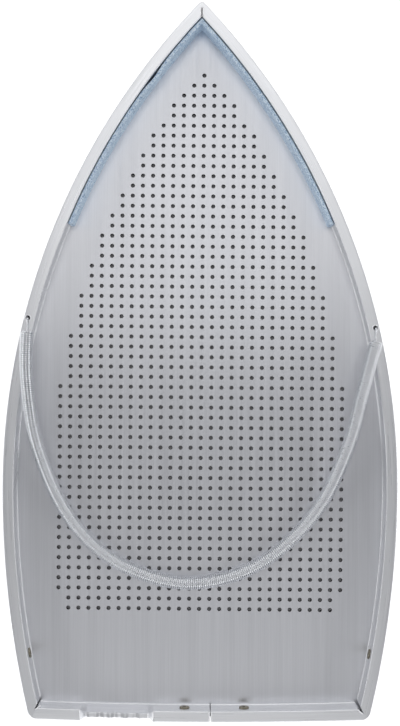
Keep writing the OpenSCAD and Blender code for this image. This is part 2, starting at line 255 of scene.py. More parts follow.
@dataclass(frozen=True)
class TornAluminium:
    """Edge of aluminium sheet as shears and punch leave it: bare bright metal, too rough to mirror."""

    name: str
    light: str
    dark: str
    grit: float = 0.3
    roughness: float = 0.5

    def build(self) -> bpy.types.Material:
        """Makes the material: fine grit varies the bare metal's colour.

        Returns:
            The finished material.
        """
        material, tree = new_material(self.name)
        place = add_node(tree, "ShaderNodeTexCoord")
        grit = add_node(
            tree,
            "ShaderNodeTexNoise",
            {"Vector": (place, "Object"), "Scale": 1 / (self.grit * MM), "Detail": 2.0},
        )
        tone = add_node(tree, "ShaderNodeValToRGB", {"Fac": (grit, "Fac")})
        set_stops(tone.color_ramp, (0.35, self.dark), (0.65, self.light))
        metal = add_node(
            tree,
            "ShaderNodeBsdfPrincipled",
            {"Base Color": (tone, "Color"), "Metallic": 1.0, "Roughness": self.roughness},
        )
        add_node(tree, "ShaderNodeOutputMaterial", {"Surface": (metal, "BSDF")})
        return material


@dataclass(frozen=True)
class SpeckledFoam:
    """Blue silicone foam tape: matt, with cut cells that speckle it light and dark."""

    name: str
    light: str
    mid: str
    dark: str
    cell: float = 0.36
    blotch: float = 1.0
    pit: float = 0.25

    def build(self) -> bpy.types.Material:
        """Makes the material: cells darken its colour and pit its surface.

        Returns:
            The finished material.
        """
        material, tree = new_material(self.name)
        place = add_node(tree, "ShaderNodeTexCoord")
        cells = add_node(
            tree,
            "ShaderNodeTexVoronoi",
            {"Vector": (place, "Object"), "Scale": 1 / (self.cell * MM), "Randomness": 1.0},
        )
        blotch = add_node(
            tree,
            "ShaderNodeTexNoise",
            {"Vector": (place, "Object"), "Scale": 1 / (self.blotch * MM), "Detail": 3.0},
        )
        mixed = add_node(
            tree,
            "ShaderNodeMix",
            {"Factor": 0.4, 2: (cells, "Distance"), 3: (blotch, "Fac")},
            data_type="FLOAT",
        )
        tone = add_node(tree, "ShaderNodeValToRGB", {"Fac": (mixed, "Result")})
        set_stops(tone.color_ramp, (0.28, self.dark), (0.44, self.mid), (0.66, self.light))
        relief = add_node(
            tree,
            "ShaderNodeBump",
            {"Height": (mixed, "Result"), "Strength": 0.8, "Distance": self.pit * MM},
        )
        foam = add_node(
            tree,
            "ShaderNodeBsdfPrincipled",
            {
                "Base Color": (tone, "Color"),
                "Roughness": 0.85,
                "Specular IOR Level": 0.25,
                "Normal": (relief, "Normal"),
            },
        )
        add_node(tree, "ShaderNodeOutputMaterial", {"Surface": (foam, "BSDF")})
        return material


@dataclass(frozen=True)
class SinteredPtfe:
    """Graphite-filled PTFE sheet: skived, waxy and dark, with faint tool lines."""

    name: str
    light: str
    dark: str
    line: tuple[float, float, float] = (60.0, 0.5, 5.0)
    line_depth: float = 0.02

    def build(self) -> bpy.types.Material:
        """Makes the material: faint lines across the sheet.

        Returns:
            The finished material.
        """
        material, tree = new_material(self.name)
        place = add_node(tree, "ShaderNodeTexCoord")
        lines = add_node(
            tree,
            "ShaderNodeMapping",
            {"Vector": (place, "Object"), "Scale": tuple(1 / (size * MM) for size in self.line)},
        )
        skived = add_node(
            tree, "ShaderNodeTexNoise", {"Vector": (lines, "Vector"), "Scale": 1.0, "Detail": 2.0}
        )
        tone = add_node(tree, "ShaderNodeValToRGB", {"Fac": (skived, "Fac")})
        set_stops(tone.color_ramp, (0.3, self.dark), (0.7, self.light))
        relief = add_node(
            tree,
            "ShaderNodeBump",
            {"Height": (skived, "Fac"), "Strength": 0.3, "Distance": self.line_depth * MM},
        )
        sheet = add_node(
            tree,
            "ShaderNodeBsdfPrincipled",
            {"Base Color": (tone, "Color"), "Roughness": 0.42, "IOR": 1.38, "Normal": (relief, "Normal")},
        )
        add_node(tree, "ShaderNodeOutputMaterial", {"Surface": (sheet, "BSDF")})
        return material


@dataclass(frozen=True)
class DrawnSteel:
    """Steel as it comes from drawing or heading: bright on its crests, with a thin brown or grey film."""

    name: str
    bright: str
    film: str
    patch: float
    roughness: float
    film_roughness: float = 0.12

    def build(self) -> bpy.types.Material:
        """Makes the material: patches of film dull the bright metal.

        Returns:
            The finished material.
        """
        material, tree = new_material(self.name)
        place = add_node(tree, "ShaderNodeTexCoord")
        patches = add_node(
            tree,
            "ShaderNodeTexNoise",
            {"Vector": (place, "Object"), "Scale": 1 / (self.patch * MM), "Detail": 4.0},
        )
        tone = add_node(tree, "ShaderNodeValToRGB", {"Fac": (patches, "Fac")})
        set_stops(tone.color_ramp, (0.35, self.film), (0.62, self.bright))
        dull = add_node(
            tree,
            "ShaderNodeMapRange",
            {
                "Value": (patches, "Fac"),
                "From Min": 0.3,
                "From Max": 0.7,
                "To Min": self.roughness + self.film_roughness,
                "To Max": self.roughness,
            },
        )
        metal = add_node(
            tree,
            "ShaderNodeBsdfPrincipled",
            {"Base Color": (tone, "Color"), "Metallic": 1.0, "Roughness": (dull, "Result")},
        )
        add_node(tree, "ShaderNodeOutputMaterial", {"Surface": (metal, "BSDF")})
        return material


@dataclass(frozen=True)
class OpalAcrylic:
    """Opal acrylic sheet of a light table: lit from below, it stays white without light from the side."""

    name: str
    colour: str
    glow: float = 0.62

    def build(self) -> bpy.types.Material:
        """Makes the material.

        Returns:
            The finished material.
        """
        material, tree = new_material(self.name)
        sheet = add_node(
            tree,
            "ShaderNodeBsdfPrincipled",
            {
                "Base Color": linear(self.colour),
                "Roughness": 0.9,
                "Specular IOR Level": 0.1,
                "Emission Color": linear(self.colour),
                "Emission Strength": self.glow,
            },
        )
        add_node(tree, "ShaderNodeOutputMaterial", {"Surface": (sheet, "BSDF")})
        return material


def new_object(
    name: str, points: np.ndarray, quads: np.ndarray, material: bpy.types.Material
) -> bpy.types.Object:
    """Puts arrays of points and quads into a mesh object at the origin.

    Args:
        name: The object's name.
        points: Places in mm, one row each.
        quads: Four point numbers for each face, anticlockwise as seen from outside.
        material: The object's material.

    Returns:
        The new object, linked to the scene.
    """
    mesh = bpy.data.meshes.new(name)
    mesh.vertices.add(len(points))
    mesh.vertices.foreach_set("co", (points * MM).astype(np.float32).ravel())
    mesh.loops.add(quads.size)
    mesh.loops.foreach_set("vertex_index", quads.astype(np.int32).ravel())
    mesh.polygons.add(len(quads))
    mesh.polygons.foreach_set("loop_start", np.arange(0, quads.size, 4, dtype=np.int32))
    mesh.polygons.foreach_set("use_smooth", np.ones(len(quads), dtype=bool))
    mesh.update(calc_edges=True)
    mesh.validate()
    obj = bpy.data.objects.new(name, mesh)
    bpy.context.scene.collection.objects.link(obj)
    mesh.materials.append(material)
    return obj


def grid_quads(rows: int, columns: int, loop_rows: bool, loop_columns: bool) -> np.ndarray:
    """Numbers the quads between the points of a grid: (i, j), (i, j+1), (i+1, j+1), (i+1, j).

    Args:
        rows: Points along the first way.
        columns: Points along the second way.
        loop_rows: Whether the last row joins the first.
        loop_columns: Whether the last column joins the first.

    Returns:
        One row of four point numbers for each quad.
    """
    i = np.arange(rows if loop_rows else rows - 1)[:, None]
    j = np.arange(columns if loop_columns else columns - 1)[None, :]
    i2, j2 = (i + 1) % rows, (j + 1) % columns
    corners = [i * columns + j, i * columns + j2, i2 * columns + j2, i2 * columns + j]
    return np.stack(np.broadcast_arrays(*corners), axis=-1).reshape(-1, 4)


def sweep_tube(
    name: str,
    path: np.ndarray,
    inward: np.ndarray,
    radius: float,
    sides: int,
    material: bpy.types.Material,
) -> bpy.types.Object:
    """Carries a circle along a path: P(s, a) = path(s) + r (cos a N(s) + sin a T(s) x N(s)).

    T is the path's direction and N is the given sideways direction, squared to T. Each end closes by
    a last ring that is all but a point.

    Args:
        name: The object's name.
        path: Points in mm, one row each.
        inward: A direction across the path at each point, which changes smoothly.
        radius: The tube's radius.
        sides: Points round the circle.
        material: The tube's material.

    Returns:
        The tube.
    """
    path = np.concatenate([path[:1], path, path[-1:]])
    inward = np.concatenate([inward[:1], inward, inward[-1:]])
    size = np.full(len(path), radius)
    size[[0, -1]] = radius * 0.02
    along = np.gradient(path, axis=0)
    along[0], along[-1] = along[2], along[-3]
    along /= np.linalg.norm(along, axis=1, keepdims=True)
    normal = inward - np.sum(inward * along, axis=1, keepdims=True) * along
    normal /= np.linalg.norm(normal, axis=1, keepdims=True)
    side = np.cross(along, normal)
    turn = np.linspace(0, 2 * math.pi, sides, endpoint=False)
    ring = np.cos(turn)[None, :, None] * normal[:, None, :] + np.sin(turn)[None, :, None] * side[:, None, :]
    points = path[:, None, :] + size[:, None, None] * ring
    quads = grid_quads(len(path), sides, False, True)
    caps = [np.arange(sides - 1, -1, -1), np.arange(sides) + (len(path) - 1) * sides]
    obj = new_object(name, points.reshape(-1, 3), quads, material)
    close_ends(obj, caps)
    return obj


def close_ends(obj: bpy.types.Object, caps: list[np.ndarray]) -> None:
    """Closes the open ends of a tube with one face each and turns all faces outwards.

    Args:
        obj: The tube.
        caps: Point numbers round each end.
    """
    work = bmesh.new()
    work.from_mesh(obj.data)
    work.verts.ensure_lookup_table()
    for cap in caps:
        work.faces.new([work.verts[i] for i in cap])
    bmesh.ops.recalc_face_normals(work, faces=work.faces)
    work.to_mesh(obj.data)
    work.free()


def smooth_up_to(obj: bpy.types.Object, degrees: float) -> None:
    """Shades a mesh smooth, with a sharp edge wherever two faces meet at more than an angle.

    Args:
        obj: The object.
        degrees: The largest angle that still looks smooth.
    """
    work = bmesh.new()
    work.from_mesh(obj.data)
    limit = math.radians(degrees)
    for face in work.faces:
        face.smooth = True
    for edge in work.edges:
        edge.smooth = edge.calc_face_angle(math.pi) < limit
    work.to_mesh(obj.data)
    work.free()


@dataclass(frozen=True)
class Outline:
    """The shoe's plan: on each side one arc from the nose to the widest place and one on to the heel."""

    length: float
    width: float
    nose_to_widest: float = 155.8
    heel_width: float = 108.6
    heel_bow: float = 1.0
    corner_r: float = 3.2
    nose_r: float = 1.0
    inner_r: float = 0.3
    nose_steps: int = 8
    front_steps: int = 110
    rear_steps: int = 50
    corner_steps: int = 18
    heel_steps: int = 420

    @property
    def front_r(self) -> float:
        """Radius of the arc between the nose and the widest place."""
        half = self.width / 2
        return (half**2 + self.nose_to_widest**2) / (2 * half)

    @property
    def front_x(self) -> float:
        """Distance of that arc's centre from the long axis."""
        return self.front_r - self.width / 2

    @property
    def widest_y(self) -> float:
        """Place of the widest part along the shoe."""
        back = math.sqrt((self.front_r - self.nose_r) ** 2 - self.front_x**2)
        return self.length / 2 - self.nose_r - back

    @property
    def rear_r(self) -> float:
        """Radius of the arc between the widest place and the heel."""
        run = self.widest_y + self.length / 2 - self.heel_bow
        narrow = (self.width - self.heel_width) / 2
        return (narrow**2 + run**2) / (2 * narrow)

    @property
    def rear_x(self) -> float:
        """Distance of that arc's centre from the long axis."""
        return self.rear_r - self.width / 2

    @property
    def heel_r(self) -> float:
        """Radius of the heel's slight bow."""
        half = self.heel_width / 2
        return (half**2 + self.heel_bow**2) / (2 * self.heel_bow)

    @property
    def heel_cy(self) -> float:
        """Place of the centre of the heel's bow."""
        return self.heel_r - self.length / 2

    def corner_centre(self, inset: float) -> np.ndarray:
        """Finds where the right heel corner's circle has its centre.

        It lies on both the side's and the heel's circles, each drawn in by the inset and the corner's
        own radius, at their lower crossing.

        Args:
            inset: Distance in from the outer face.

        Returns:
            The centre in plan.
        """
        back = inset + max(self.corner_r - inset, self.inner_r)
        side, heel = np.array([-self.rear_x, self.widest_y]), np.array([0.0, self.heel_cy])
        r_side, r_heel = self.rear_r - back, self.heel_r - back
        gap = heel - side
        d = np.linalg.norm(gap)
        a = (d * d + r_side**2 - r_heel**2) / (2 * d)
        across = np.array([gap[1], -gap[0]]) / d * math.sqrt(r_side**2 - a * a)
        middle = side + gap * a / d
        return max(middle + across, middle - across, key=lambda p: p[0])

    def side_x(self, y: np.ndarray | float, inset: np.ndarray | float) -> np.ndarray:
        """Half width at a place along the shoe: x = sqrt((R - inset)^2 - (y - y0)^2) - x0.

        Args:
            y: Place along the shoe.
            inset: Distance in from the outer face.

        Returns:
            The distance from the long axis.
        """
        rise = np.subtract(y, self.widest_y)
        r = np.where(rise > 0, self.front_r, self.rear_r)
        return np.sqrt((r - inset) ** 2 - rise**2) - np.where(rise > 0, self.front_x, self.rear_x)

    def crossing(self, inset: np.ndarray | float, other: float) -> np.ndarray:
        """Finds how far forward a side's curve meets the other side's curve, across the long axis.

        With A = (R - inset)^2 and B = (R - other)^2 the two meet where
        rise^2 = B - ((4 x0^2 + B - A) / (4 x0))^2.

        Args:
            inset: Distance in of the curve.
            other: Distance in of the other side's curve.

        Returns:
            The place along the shoe.
        """
        a, b, x0 = (self.front_r - inset) ** 2, (self.front_r - other) ** 2, self.front_x
        return self.widest_y + np.sqrt(b - ((4 * x0**2 + b - a) / (4 * x0)) ** 2)

    def heel_y(self, x: np.ndarray | float, inset: np.ndarray | float) -> np.ndarray:
        """Place of the heel's face: y = yc - sqrt((R - inset)^2 - x^2)."""
        return self.heel_cy - np.sqrt((self.heel_r - inset) ** 2 - np.square(x))

    def heel_places(self) -> np.ndarray:
        """Places across the heel, from right to left, between the corners."""
        end = self.corner_centre(0)[0] - self.corner_r
        return np.linspace(end, -end, self.heel_steps)

    def right_side(self, inset: float) -> np.ndarray:
        """Walks the right side at an inset, as arcs c + r (cos a, sin a), from the tip to the heel.

        Args:
            inset: Distance in from the outer face.

        Returns:
            Points in plan, one row each.
        """
        nose_in = max(self.nose_r - inset, self.inner_r)
        heel_in = max(self.corner_r - inset, self.inner_r)
        reach = math.sqrt((self.front_r - inset - nose_in) ** 2 - self.front_x**2)
        nose = np.array([0.0, self.widest_y + reach])
        front = np.array([-self.front_x, self.widest_y])
        rear = np.array([-self.rear_x, self.widest_y])
        heel = self.corner_centre(inset)
        nose_turn = math.atan2(reach, self.front_x)
        side_turn = math.atan2(heel[1] - self.widest_y, heel[0] + self.rear_x)
        heel_turn = math.atan2(heel[1] - self.heel_cy, heel[0])
        arcs = (
            (nose, nose_in, math.pi / 2, nose_turn, self.nose_steps),
            (front, self.front_r - inset, nose_turn, 0.0, self.front_steps),
            (rear, self.rear_r - inset, 0.0, side_turn, self.rear_steps),
            (heel, heel_in, side_turn, heel_turn, self.corner_steps),
        )
        walk = [np.array([[0.0, nose[1] + nose_in]])]
        for centre, r, start, stop, steps in arcs:
            a = np.linspace(start, stop, steps + 1)[1:, None]
            walk.append(centre + r * np.hstack([np.cos(a), np.sin(a)]))
        return np.concatenate(walk)

    def run_of(self, x: np.ndarray, y: np.ndarray) -> tuple[np.ndarray, np.ndarray]:
        """Unrolls places of the rim: how far along the strip they lie and how far in.

        The run is R times the angle about the arc that the place belongs to, and the inset is R less
        the distance from its centre.

        Args:
            x: Places across the shoe.
            y: Places along the shoe.

        Returns:
            The run and the inset of each place, in mm.
        """
        side = np.abs(x)
        rise = y - self.widest_y
        x0 = np.where(rise > 0, self.front_x, self.rear_x)
        r = np.where(rise > 0, self.front_r, self.rear_r)
        run = r * np.arctan2(rise, side + x0) * np.sign(x)
        inset = r - np.hypot(side + x0, rise)
        from_heel = y - self.heel_y(np.clip(x, -self.width / 2, self.width / 2), 0)
        at_heel = from_heel < inset
        run = np.where(at_heel, x + 4 * self.length, run)
        return run, np.where(at_heel, from_heel, inset)


@dataclass(frozen=True)
class Dent:
    """The stretch of the heel's rim that was pressed down, with its inner leg leant outwards."""

    middle: float
    length: float = 19.5
    ramp: float = 2.2
    drop: float = 3.4
    lean: float = 0.3

    def share(self, x: np.ndarray) -> np.ndarray:
        """How far the dent is pressed in at a place: 0 outside, 1 inside, and t^2 (3 - 2 t) between.

        Args:
            x: Places across the heel.

        Returns:
            The share at each place.
        """
        t = np.clip((self.length / 2 + self.ramp - np.abs(x - self.middle)) / self.ramp, 0, 1)
        return t * t * (3 - 2 * t)

    def ripple(self, x: np.ndarray) -> np.ndarray:
        """Unevenness of the pressed metal in mm: a long wave and a short one across the heel."""
        return 0.12 * np.sin(x * 1.15 + 0.6) + 0.07 * np.sin(x * 2.7)


@dataclass
class Rim:
    """The folded strip that holds the plates, with its slit, wedges, joint, dent and holes."""

    plan: Outline
    top: float
    plate_top: float
    finish: BrushedAluminium
    torn: TornAluminium
    thickness: float = 0.8
    width: float = 3.6
    edge_r: float = 0.3
    fold_r: float = 0.7
    foot_out: float = 0.3
    foot_h: float = 0.9
    lip_w: float = 3.0
    lip_t: float = 0.45
    lip_z: float = 0.15
    joint_x: float = 3.6
    joint_gap: float = 0.3
    slit_w: float = 0.3
    slit_start: float = 2.0
    wedge_angle: float = 24.0
    wedge_turn: float = 38.0
    wedge_point: float = 1.5
    wedge_forward: float = 1.0
    dent_from_joint: float = 30.0
    pinch_gap: float = 0.1
    rivet_z: float = 5.0
    rivet_hole_r: float = 1.0
    heel_rivets: tuple[float, float] = (-4.7, 14.5)
    side_rivet: float = 21.2
    hook_hole_r: float = 0.9
    hook_y: tuple[float, float] = (13.9, 11.1)
    hook_ahead: float = 2.0
    edge_steps: int = 7
    cut_over: float = 5.0
    cut_under: float = 1.0
    slit_reach: float = 12.0
    joint_reach: float = 9.0
    drill_over: float = 0.2
    hook_drill: float = 4.0
    rivet_drill: float = 3.0
    cutter_sides: int = 40
    burr_r: float = 0.22
    burr_lift: float = 0.06
    burr_short: float = 0.3
    wedge_burr: tuple[float, float] = (0.2, 2.5)
    burr_steps: int = 12
    burr_sides: int = 10
    collar_r: float = 0.2
    collar_sides: int = 12

    def section(self) -> np.ndarray:
        """Draws the strip's section as one loop: inset first, height second.

        Round edges are arcs c + r (cos a, sin a), and long faces get a few points between.

        Returns:
            The loop's points in mm.
        """
        top, t, w = self.top, self.thickness, self.width
        arcs = {
            "fold": (self.fold_r, self.lip_z + self.fold_r, self.fold_r, 270, 180),
            "outer": (self.edge_r, top - self.edge_r, self.edge_r, 180, 90),
            "inner": (w - self.edge_r, top - self.edge_r, self.edge_r, 90, 0),
            "foot": (w, self.plate_top + self.foot_h - self.foot_out, self.foot_out, 90, 0),
        }
        round_edge = {}
        for name, (u, z, r, start, stop) in arcs.items():
            a = np.radians(np.linspace(start, stop, self.edge_steps))
            round_edge[name] = np.column_stack([u + r * np.cos(a), z + r * np.sin(a)])
        under, lip_top = top - t, self.lip_z + self.lip_t
        legs = [
            [w + self.foot_out, self.plate_top],
            [w - t, self.plate_top],
            [w - t, under],
            [t, under],
            [t, lip_top],
            [self.lip_w, lip_top],
            [self.lip_w, self.lip_z],
        ]
        high = top - self.edge_r
        wall = np.column_stack([np.zeros(4), np.linspace(self.lip_z + self.fold_r, high, 6)[1:-1]])
        web = np.column_stack([np.linspace(self.edge_r, w - self.edge_r, 5)[1:-1], np.full(3, top)])
        inner = np.column_stack([np.full(4, w), np.linspace(high, self.plate_top + self.foot_h, 6)[1:-1]])
        fold, outer, crest, foot = (round_edge[name] for name in arcs)
        return np.concatenate([fold, wall, outer, web, crest, inner, foot, legs])

    def heel_rows(self, point: np.ndarray, x: np.ndarray) -> np.ndarray:
        """Places one point of the section across the heel, pressed where the dent is.

        A point's rise is 0 at the foot, 1 under the web, and its squeeze is 0 at the outer leg, 1 at
        the inner one. It comes down by share times rise times the drop and moves in by share times
        rise times (lean - pinch times squeeze). The pressed metal ripples by a tenth of a millimetre
        or so, as hammered sheet does.

        Args:
            point: Inset and height of the point.
            x: Places across the heel.

        Returns:
            Points in mm, one row each.
        """
        dent = Dent(self.joint_x - self.dent_from_joint)
        foot, hollow = self.plate_top + self.foot_h, self.width - 2 * self.thickness
        rise = np.clip((point[1] - foot) / (self.top - self.thickness - foot), 0, 1)
        squeeze = np.clip((point[0] - self.thickness) / hollow, 0, 1)
        pressed = dent.share(x) * rise
        ripple = dent.ripple(x)
        z = point[1] - pressed * (dent.drop + ripple)
        inset = point[0] + pressed * (dent.lean + 0.5 * ripple - (hollow - self.pinch_gap) * squeeze)
        return np.column_stack([x, self.plan.heel_y(x, inset), z])

    def ring(self, point: np.ndarray) -> np.ndarray:
        """Carries one point of the section round the whole outline.

        Args:
            point: Inset and height of the point.

        Returns:
            Points in mm, one row each, clockwise as seen from above.
        """
        right = self.plan.right_side(point[0])
        left = right[:0:-1] * [-1, 1]
        lift = [np.column_stack([p, np.full(len(p), point[1])]) for p in (right, left)]
        return np.concatenate([lift[0], self.heel_rows(point, self.plan.heel_places()), lift[1]])

    def build_strip(self) -> bpy.types.Object:
        """Makes the uncut strip: P(i, j) is point i of the section at place j of the outline.

        Returns:
            The strip as one closed mesh.
        """
        rings = np.stack([self.ring(p) for p in self.section()])
        quads = grid_quads(len(rings), rings.shape[1], True, True)
        return new_object("folded_rim", rings.reshape(-1, 3), quads, self.finish.build())

    def hook_holes(self) -> list[tuple[float, float]]:
        """Middles of the left and the right hook hole in plan, on the web's middle line."""
        return [
            (side * float(self.plan.side_x(y - self.hook_ahead, self.width / 2)), y)
            for side, y in zip((-1, 1), self.hook_y)
        ]

    def column(self, low: np.ndarray, high: np.ndarray) -> tuple[np.ndarray, list]:
        """Joins two outlines of as many points into a closed column.

        Args:
            low: Points of one end.
            high: Points of the other end.

        Returns:
            Its points and its faces.
        """
        n = len(low)
        sides = [[i, (i + 1) % n, (i + 1) % n + n, i + n] for i in range(n)]
        return np.concatenate([low, high]), [list(range(n - 1, -1, -1)), list(range(n, 2 * n)), *sides]

    def prism(self, outline: np.ndarray) -> tuple[np.ndarray, list]:
        """Stands an outline up as a prism that passes through the whole strip.

        Args:
            outline: Anticlockwise points in plan, one row each.

        Returns:
            Its points and its faces.
        """
        ends = (-self.cut_under, self.top + self.cut_over)
        return self.column(*(np.column_stack([outline, np.full(len(outline), z)]) for z in ends))

    def slot_cutter(self, x: float, width: float, start: float, stop: float) -> tuple[np.ndarray, list]:
        """Makes the cutter of a straight slot along the shoe.

        Args:
            x: Its middle.
            width: Its width.
            start: Its end towards the heel.
            stop: Its end towards the nose.

        Returns:
            Its points and its faces.
        """
        left, right = x - width / 2, x + width / 2
        return self.prism(np.array([(left, start), (right, start), (right, stop), (left, stop)]))

    def cutters(self) -> list[tuple[np.ndarray, list]]:
        """Lists what is cut out of the strip: slit, wedges, joint, hook holes and rivet holes.

        Returns:
            Points and faces of each cutter.
        """
        heel = -self.plan.length / 2
        slit_end = self.plan.length / 2 - self.slit_start
        cuts = [
            self.slot_cutter(0.0, self.slit_w, slit_end - self.slit_reach, slit_end),
            self.slot_cutter(
                self.joint_x, self.joint_gap, heel - self.cut_under, heel + self.joint_reach
            ),
        ]
        corner = self.plan.corner_centre(0)
        reach = self.plan.corner_r + self.width + self.lip_w
        half = reach * math.tan(math.radians(self.wedge_angle / 2))
        turn = math.radians(self.wedge_turn)
        for side, forward in ((1, 0.0), (-1, self.wedge_forward)):
            local = np.array([[0, 0], [half, reach], [-half, reach]]) - [0, self.wedge_point]
            spin = np.array([[math.cos(turn), math.sin(turn)], [-math.sin(turn), math.cos(turn)]])
            placed = (local @ spin + [corner[0], corner[1] + forward]) * [side, 1]
            cuts.append(self.prism(placed[::side]))
        for x, y in self.hook_holes():
            start = (x, y, self.top - self.hook_drill / 2)
            cuts.append(self.drill(start, (0, 0, 1), self.hook_hole_r, self.hook_drill))
        z, back = self.plate_top + self.rivet_z, self.thickness + self.drill_over
        for x in self.heel_rivets:
            start = (x, float(self.plan.heel_y(x, self.width)) - back, z)
            cuts.append(self.drill(start, (0, 1, 0), self.rivet_hole_r, self.rivet_drill))
        for side in (-1, 1):
            y = heel + self.side_rivet
            start = (side * (float(self.plan.side_x(y, self.width)) + back), y, z)
            cuts.append(self.drill(start, (-side, 0, 0), self.rivet_hole_r, self.rivet_drill))
        return cuts

    def drill(self, start: tuple, way: tuple, r: float, length: float) -> tuple[np.ndarray, list]:
        """Makes a round cutter: start + t way + r (cos a u + sin a v), with u and v square to way.

        Args:
            start: Middle of its back end.
            way: Unit direction that it points in.
            r: Its radius.
            length: Its length.

        Returns:
            Its points and faces.
        """
        axis = np.array(way, float)
        u = np.array([0.0, 0.0, 1.0]) if abs(axis[2]) < 0.5 else np.array([1.0, 0.0, 0.0])
        v = np.cross(axis, u)
        a = np.linspace(0, 2 * math.pi, self.cutter_sides, endpoint=False)[:, None]
        ring = np.array(start, float) + r * (np.cos(a) * u + np.sin(a) * v)
        return self.column(ring, ring + length * axis)

    def cut(self, strip: bpy.types.Object) -> None:
        """Cuts the openings out of the strip with one boolean.

        Args:
            strip: The uncut strip, which is changed.
        """
        points, faces, count = [], [], 0
        for cut_points, cut_faces in self.cutters():
            points.append(cut_points)
            faces += [[i + count for i in face] for face in cut_faces]
            count += len(cut_points)
        mesh = bpy.data.meshes.new("cutters")
        mesh.from_pydata((np.concatenate(points) * MM).tolist(), [], faces)
        tool = bpy.data.objects.new("cutters", mesh)
        bpy.context.scene.collection.objects.link(tool)
        close_ends(tool, [])
        boolean = strip.modifiers.new("openings", "BOOLEAN")
        boolean.object, boolean.operation, boolean.solver = tool, "DIFFERENCE", "EXACT"
        bpy.context.view_layer.update()
        finished = strip.evaluated_get(bpy.context.evaluated_depsgraph_get())
        cut_mesh = bpy.data.meshes.new_from_object(finished)
        strip.modifiers.clear()
        strip.data = cut_mesh
        bpy.data.objects.remove(tool)

    def burrs(self) -> None:
        """Rolls up the bright burr along each cut in the web and the collar round each hook hole."""
        tip, heel = self.plan.length / 2, -self.plan.length / 2
        inner = float(self.plan.crossing(self.width, self.width))
        bright = self.torn.build()
        z = self.top + self.burr_lift
        lines = []
        for side in (-1, 1):
            x = side * (self.slit_w / 2 + self.burr_r)
            lines.append([(x, tip - self.slit_start, z), (x, inner + self.burr_short, z)])
            x = self.joint_x + side * (self.joint_gap / 2 + self.burr_r)
            ends = (heel + self.burr_short, heel + self.width - self.burr_short)
            lines.append([(x, y, z) for y in ends])
        corner = self.plan.corner_centre(0)
        middle = math.radians(self.wedge_turn)
        turn = math.radians(self.wedge_turn + self.wedge_angle / 2)
        way = np.array([-math.sin(turn), math.cos(turn)])
        across = self.burr_r * np.array([-math.cos(turn), -math.sin(turn)])
        for side, forward in ((1, 0.0), (-1, self.wedge_forward)):
            start = np.array([corner[0], corner[1] + forward])
            point = start - self.wedge_point * np.array([-math.sin(middle), math.cos(middle)])
            ends = [point + across + t * way for t in self.wedge_burr]
            lines.append([(side * p[0], p[1], z) for p in ends])
        for number, (a, b) in enumerate(lines):
            path = np.linspace(a, b, self.burr_steps)
            up = np.tile([0.0, 0.0, 1.0], (self.burr_steps, 1))
            wire = sweep_tube(f"cut_burr_{number}", path, up, self.burr_r, self.burr_sides, bright)
            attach(wire, SHOE_BODY)
        turn = np.linspace(0, 2 * math.pi, self.cutter_sides + 1)
        round_hole = np.column_stack([np.cos(turn), np.sin(turn), np.zeros_like(turn)])
        for number, (x, y) in zip((0, 2), self.hook_holes()):
            path = [x, y, self.top] + self.hook_hole_r * round_hole
            name, sides = f"hook_collar_{number}", self.collar_sides
            collar = sweep_tube(name, path, round_hole, self.collar_r, sides, bright)
            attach(collar, SHOE_BODY)

    def unroll(self, strip: bpy.types.Object) -> None:
        """Gives the strip a UV map in mm: along is the run round the outline, across is inset + height.

        Args:
            strip: The cut strip.
        """
        mesh = strip.data
        co = np.empty(len(mesh.vertices) * 3, np.float32)
        mesh.vertices.foreach_get("co", co)
        co = co.reshape(-1, 3) / MM
        run, inset = self.plan.run_of(co[:, 0], co[:, 1])
        corner = np.empty(len(mesh.loops), np.int32)
        mesh.loops.foreach_get("vertex_index", corner)
        layer = mesh.uv_layers.new(name="run")
        flat = np.column_stack([run, inset + co[:, 2]])
        layer.data.foreach_set("uv", flat[corner].astype(np.float32).ravel())

    def build(self) -> bpy.types.Object:
        """Makes the finished rim and seats it on the shoe.

        Returns:
            The rim.
        """
        strip = self.build_strip()
        self.cut(strip)
        self.unroll(strip)
        smooth_up_to(strip, 34)
        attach(strip, SHOE_BODY)
        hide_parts("frame")
        self.burrs()
        return strip


